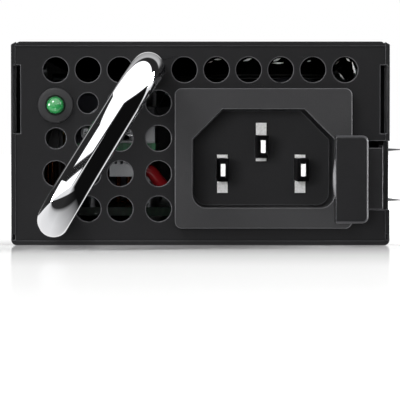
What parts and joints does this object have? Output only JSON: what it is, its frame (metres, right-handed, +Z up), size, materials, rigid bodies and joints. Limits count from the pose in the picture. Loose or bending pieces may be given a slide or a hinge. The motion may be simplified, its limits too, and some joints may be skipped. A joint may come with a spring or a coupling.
{
  "type": "server power supply",
  "caption": "Slim hot swap server power supply: black steel case, diagonal chrome handle, AC inlet, side latch, fan and card edge.",
  "frame": {"origin": "centre of the case's underside, on the plane it rests on", "axes": "+X to the right when facing the handle side, +Y from the handle side to the card edge, +Z up"},
  "size_m": [0.0685, 0.2154, 0.0355],
  "materials": {
    "case_steel": "black powder coat, fine satin texture",
    "chrome": "bright chrome plate",
    "inlet_plastic": "moulded, finely textured",
    "latch_plastic": "moulded, semi-matte",
    "contact_metal": "nickel plated",
    "gold": "gold flash",
    "led_green": "clear green dome",
    "spring_steel": "bare spring steel",
    "zinc_steel": "zinc plated",
    "circuit_board": "green solder mask",
    "fan_plastic": "moulded black",
    "aluminium": "extruded, plain",
    "ferrite": "sintered grey ferrite",
    "copper_winding": "enamelled copper",
    "can_sleeve": "shrink sleeve",
    "grey_plastic": "moulded grey",
    "epoxy_black": "moulded epoxy",
    "wire_red": "PVC insulation",
    "wire_black": "PVC insulation",
    "wire_green": "PVC insulation",
    "clear_film": "clear polyester film",
    "fuse_ceramic": "ceramic tube",
    "tape_yellow": "polyester tape"
  },
  "bodies": {
    "case": {"board_screws": "zinc_steel", "board_standoffs": "zinc_steel", "boost_choke_core": "ferrite", "boost_choke_winding": "copper_winding", "bridge_rectifier": "epoxy_black", "bulk_capacitors": "can_sleeve", "case_cover": "case_steel", "case_tray": "case_steel", "clamp_screws": "zinc_steel", "connector_pins": "contact_metal", "cover_screws": "zinc_steel", "earth_wire": "wire_green", "edge_contacts": "gold", "face_plate": "case_steel", "fan_frame": "fan_plastic", "fan_guard": "zinc_steel", "fan_screws": "zinc_steel", "filter_board": "circuit_board", "filter_clamp": "aluminium", "filter_posts": "zinc_steel", "fuse": "fuse_ceramic", "handle": "chrome", "handle_screws": "zinc_steel", "inlet_body": "inlet_plastic", "inlet_earth_pin": "contact_metal", "inlet_line_pins": "contact_metal", "insulating_film": "clear_film", "latch_bracket": "zinc_steel", "latch_pin": "zinc_steel", "latch_spring": "spring_steel", "led_holder": "inlet_plastic", "led_leads": "contact_metal", "led_lens": "led_green", "line_wire": "wire_red", "main_board": "circuit_board", "neutral_wire": "wire_black", "output_capacitors": "can_sleeve", "output_transistors": "epoxy_black", "power_transistors": "epoxy_black", "primary_heatsink": "aluminium", "rear_panel": "case_steel", "secondary_heatsink": "aluminium", "transformer_core": "ferrite", "transformer_winding": "tape_yellow", "wire_connector": "grey_plastic", "x_capacitor": "grey_plastic"},
    "latch": {"latch_lever": "latch_plastic", "latch_catch": "spring_steel", "latch_rivets": "zinc_steel"},
    "rotor": {"fan_rotor": "fan_plastic"}
  },
  "joints": [
    {"name": "latch_release", "type": "hinge", "parent": "case", "child": "latch", "pos_m": [0.0299, -0.058, 0.012], "axis": [0, 0, -1], "range_deg": [0, 5.5], "stiffness_Nm_per_rad": 0.6, "springref_deg": -2.86},
    {"name": "fan_spin", "type": "hinge", "parent": "case", "child": "rotor", "pos_m": [-0.01575, 0.082, 0.01725], "axis": [0, 1, 0], "continuous": true}
  ]
}
